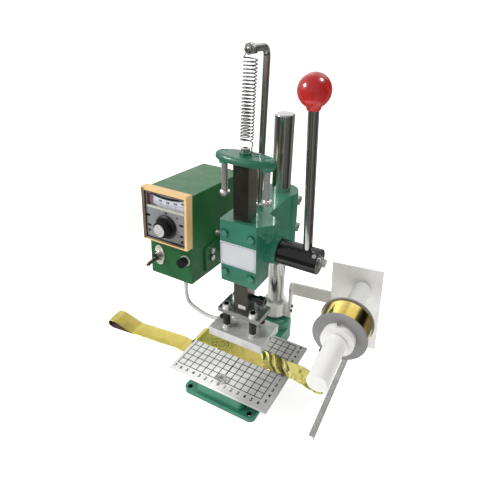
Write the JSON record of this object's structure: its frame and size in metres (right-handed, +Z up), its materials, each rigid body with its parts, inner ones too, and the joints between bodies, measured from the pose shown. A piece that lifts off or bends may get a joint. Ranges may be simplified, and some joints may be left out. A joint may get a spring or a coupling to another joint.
{
  "type": "hot foil stamping press",
  "caption": "Bench hot foil press: a hand lever and pinion lower a heated block to a gridded table, with return spring, temperature control box and foil roll on a side rack.",
  "frame": {"origin": "centre of the four bolt holes of the base, on its underside", "axes": "+X to the right, +Y back towards the column, +Z up; the operator stands at -Y"},
  "size_m": [0.4122, 0.2178, 0.442],
  "materials": {
    "green_enamel": "gloss",
    "green_screws": "gloss",
    "box_enamel": "satin",
    "chrome": "polished",
    "steel": "satin",
    "dark_steel": "ground",
    "plate_steel": "ground",
    "shaft_steel": "ground",
    "strip_steel": "satin",
    "table_aluminium": "brushed",
    "heater_aluminium": "milled",
    "nameplate_aluminium": "satin",
    "bronze": "machined",
    "heater_steel": "dull",
    "black_steel": "satin",
    "black_plastic": "matte",
    "spacer_black": "matte",
    "red_knob": "gloss",
    "bezel_plastic": "satin",
    "controller_plastic": "matte",
    "needle_red": "matte",
    "white_plastic": "satin",
    "grey_plastic": "matte",
    "pale_plastic": "satin",
    "gold_foil": "metallic",
    "core_card": "matte",
    "cable_sleeve": "matte"
  },
  "bodies": {
    "stand": {"base_casting": "green_enamel", "column": "chrome", "base_screws": "steel", "work_table": "table_aluminium", "support_collar": "steel", "collar_bolts": "dark_steel", "rack_post": "strip_steel", "rack_arm": "strip_steel", "rack_bolts": "steel", "foil_plate": "strip_steel", "foil_rod": "white_plastic", "foil_discs": "grey_plastic", "disc_hubs": "white_plastic", "hub_set_screws": "steel", "guide_bar": "strip_steel", "foil_web": "gold_foil"},
    "foil_spool": {"foil_roll": "gold_foil", "foil_core": "core_card"},
    "head": {"head_casting": "green_enamel", "front_cover": "green_enamel", "cover_screws": "green_screws", "nameplate": "nameplate_aluminium", "pinch_bolts": "steel", "spring_post": "chrome", "spring_post_nuts": "steel", "pinion_bushes": "bronze", "return_spring": "steel", "box_bracket": "box_enamel", "bracket_bolts": "steel", "control_box": "box_enamel", "box_rear_cover": "box_enamel", "controller_bezel": "bezel_plastic", "controller_body": "controller_plastic", "toggle_switch": "steel", "fuse_holder": "pale_plastic", "mains_inlet": "black_plastic", "cable_gland": "black_plastic", "heater_cable": "cable_sleeve"},
    "ram": {"ram_bar": "dark_steel", "yoke_plate": "green_enamel", "yoke_screw": "steel", "stop_locknuts": "green_screws", "connection_plate": "plate_steel", "ram_clamp_screw": "black_steel", "plate_bolts": "steel", "insulating_spacers": "spacer_black", "heater_block": "heater_aluminium", "cartridge_heater": "heater_steel", "thermocouple": "black_plastic"},
    "left_stop": {"stop_screw_left": "chrome"},
    "right_stop": {"stop_screw_right": "chrome"},
    "lever": {"pinion_shaft": "shaft_steel", "lever_hub": "black_steel", "hub_fasteners": "steel", "lever_rod": "chrome", "lever_knob": "red_knob"},
    "dial": {"dial_knob": "black_plastic"},
    "needle": {"meter_needle": "needle_red"},
    "toggle": {"toggle_lever": "chrome"},
    "cap": {"fuse_cap": "black_plastic"}
  },
  "joints": [
    {"name": "head_height", "type": "slide", "parent": "stand", "child": "head", "axis": [0, 0, 1], "range_m": [0, 0.06]},
    {"name": "lever_turn", "type": "hinge", "parent": "head", "child": "lever", "pos_m": [0.0738, 0.0335, 0.208], "axis": [1, 0, 0], "range_deg": [0, 97.6]},
    {"name": "ram_slide", "type": "slide", "parent": "head", "child": "ram", "axis": [0, 0, -1], "range_m": [0, 0.023], "stiffness_N_per_m": 490, "springref_m": -0.065, "deforming": ["return_spring", "heater_cable"]},
    {"name": "left_stop_screw", "type": "slide", "parent": "ram", "child": "left_stop", "axis": [0, 0, 1], "range_m": [0, 0.01]},
    {"name": "right_stop_screw", "type": "slide", "parent": "ram", "child": "right_stop", "axis": [0, 0, 1], "range_m": [0, 0.01]},
    {"name": "foil_roll_turn", "type": "hinge", "parent": "stand", "child": "foil_spool", "pos_m": [0.13246, 0.02207, 0.1325], "axis": [0.0489, -0.9988, 0], "continuous": true},
    {"name": "dial_turn", "type": "hinge", "parent": "head", "child": "dial", "pos_m": [-0.1083, -0.01124, 0.21871], "axis": [0, 0.9971, -0.0767], "range_deg": [-120, 150]},
    {"name": "needle_swing", "type": "hinge", "parent": "head", "child": "needle", "pos_m": [-0.1103, 0.00046, 0.22734], "axis": [0, 0.9971, -0.0767], "range_deg": [0, 100]},
    {"name": "toggle_flip", "type": "hinge", "parent": "head", "child": "toggle", "pos_m": [-0.1303, -0.00023, 0.16622], "axis": [-1, 0, 0], "range_deg": [0, 26]},
    {"name": "fuse_cap_turn", "type": "hinge", "parent": "head", "child": "cap", "pos_m": [-0.0863, -0.00391, 0.17051], "axis": [0, -0.9971, 0.0767], "range_deg": [0, 90]}
  ],
  "couplings": [
    {"joint": "ram_slide", "follows": "lever_turn", "m_per_rad": 0.0135}
  ]
}
